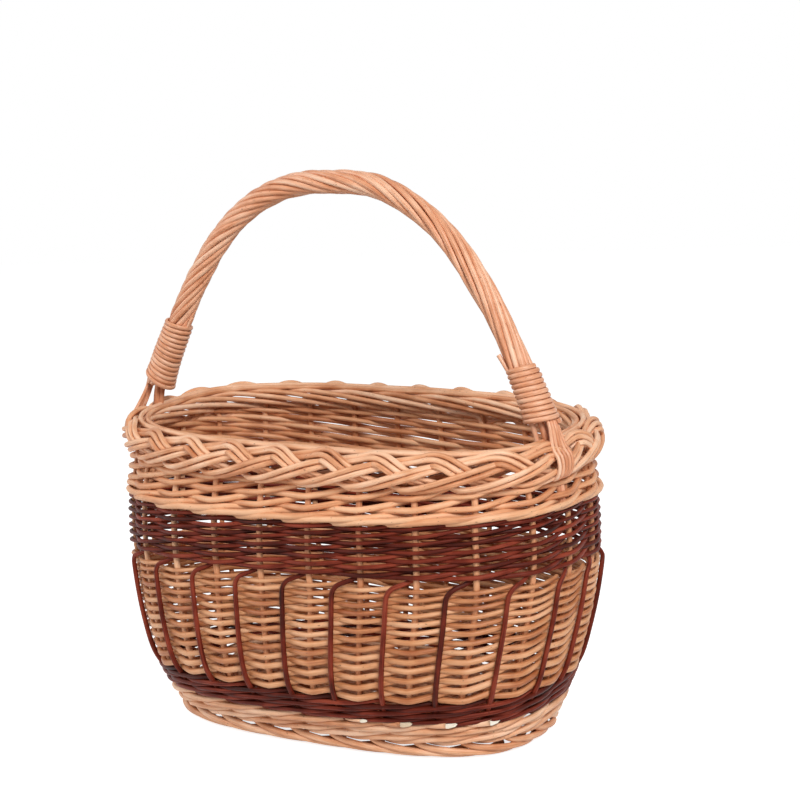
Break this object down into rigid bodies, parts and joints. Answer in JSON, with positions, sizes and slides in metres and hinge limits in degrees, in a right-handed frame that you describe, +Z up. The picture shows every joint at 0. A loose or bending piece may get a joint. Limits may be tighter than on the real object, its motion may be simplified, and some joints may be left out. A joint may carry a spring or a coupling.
{
  "type": "wicker shopping basket",
  "caption": "Oval wicker shopping basket with a bulging two-tone woven wall, plaited rim border, rolled foot and a fixed roped bow handle bound at both feet.",
  "frame": {"origin": "on the floor under the middle of the basket", "axes": "+Z up, +X along the basket's long axis and the handle, -Y towards the front side of the picture"},
  "size_m": [0.4461, 0.2752, 0.4831],
  "materials": {
    "light_willow": "buff willow rods, satin",
    "dark_willow": "dark brown stained willow rods, satin gloss",
    "stake_willow": "buff willow rods, satin",
    "handle_willow": "buff willow rods, satin, slightly polished by handling"
  },
  "bodies": {
    "root": {"bottom_wale": "light_willow", "lower_weave": "light_willow", "upper_weave": "light_willow", "foot_border": "light_willow", "base_weave": "light_willow", "rim_border": "light_willow", "dark_wale": "dark_willow", "dark_band": "dark_willow", "stake_01": "stake_willow", "stake_02": "stake_willow", "stake_03": "stake_willow", "stake_04": "stake_willow", "stake_05": "stake_willow", "stake_06": "stake_willow", "stake_07": "stake_willow", "stake_08": "stake_willow", "stake_09": "stake_willow", "stake_10": "stake_willow", "stake_11": "stake_willow", "stake_12": "stake_willow", "stake_13": "stake_willow", "stake_14": "stake_willow", "stake_15": "stake_willow", "stake_16": "stake_willow", "stake_17": "stake_willow", "stake_18": "stake_willow", "stake_19": "stake_willow", "stake_20": "stake_willow", "stake_21": "stake_willow", "stake_22": "stake_willow", "stake_23": "stake_willow", "stake_24": "stake_willow", "base_cross_stick_1": "stake_willow", "base_cross_stick_2": "stake_willow", "base_cross_stick_3": "stake_willow", "base_cross_stick_4": "stake_willow", "base_cross_stick_5": "stake_willow", "base_cross_stick_6": "stake_willow", "base_cross_stick_7": "stake_willow", "base_long_stick_1": "stake_willow", "base_long_stick_2": "stake_willow", "base_long_stick_3": "stake_willow", "handle_core": "handle_willow", "handle_wrap": "handle_willow", "handle_binding_left": "handle_willow", "handle_binding_right": "handle_willow", "handle_fan_left_1": "handle_willow", "handle_fan_left_2": "handle_willow", "handle_fan_left_3": "handle_willow", "handle_fan_left_4": "handle_willow", "handle_fan_left_5": "handle_willow", "handle_fan_right_1": "handle_willow", "handle_fan_right_2": "handle_willow", "handle_fan_right_3": "handle_willow", "handle_fan_right_4": "handle_willow", "handle_fan_right_5": "handle_willow"}
  },
  "joints": []
}
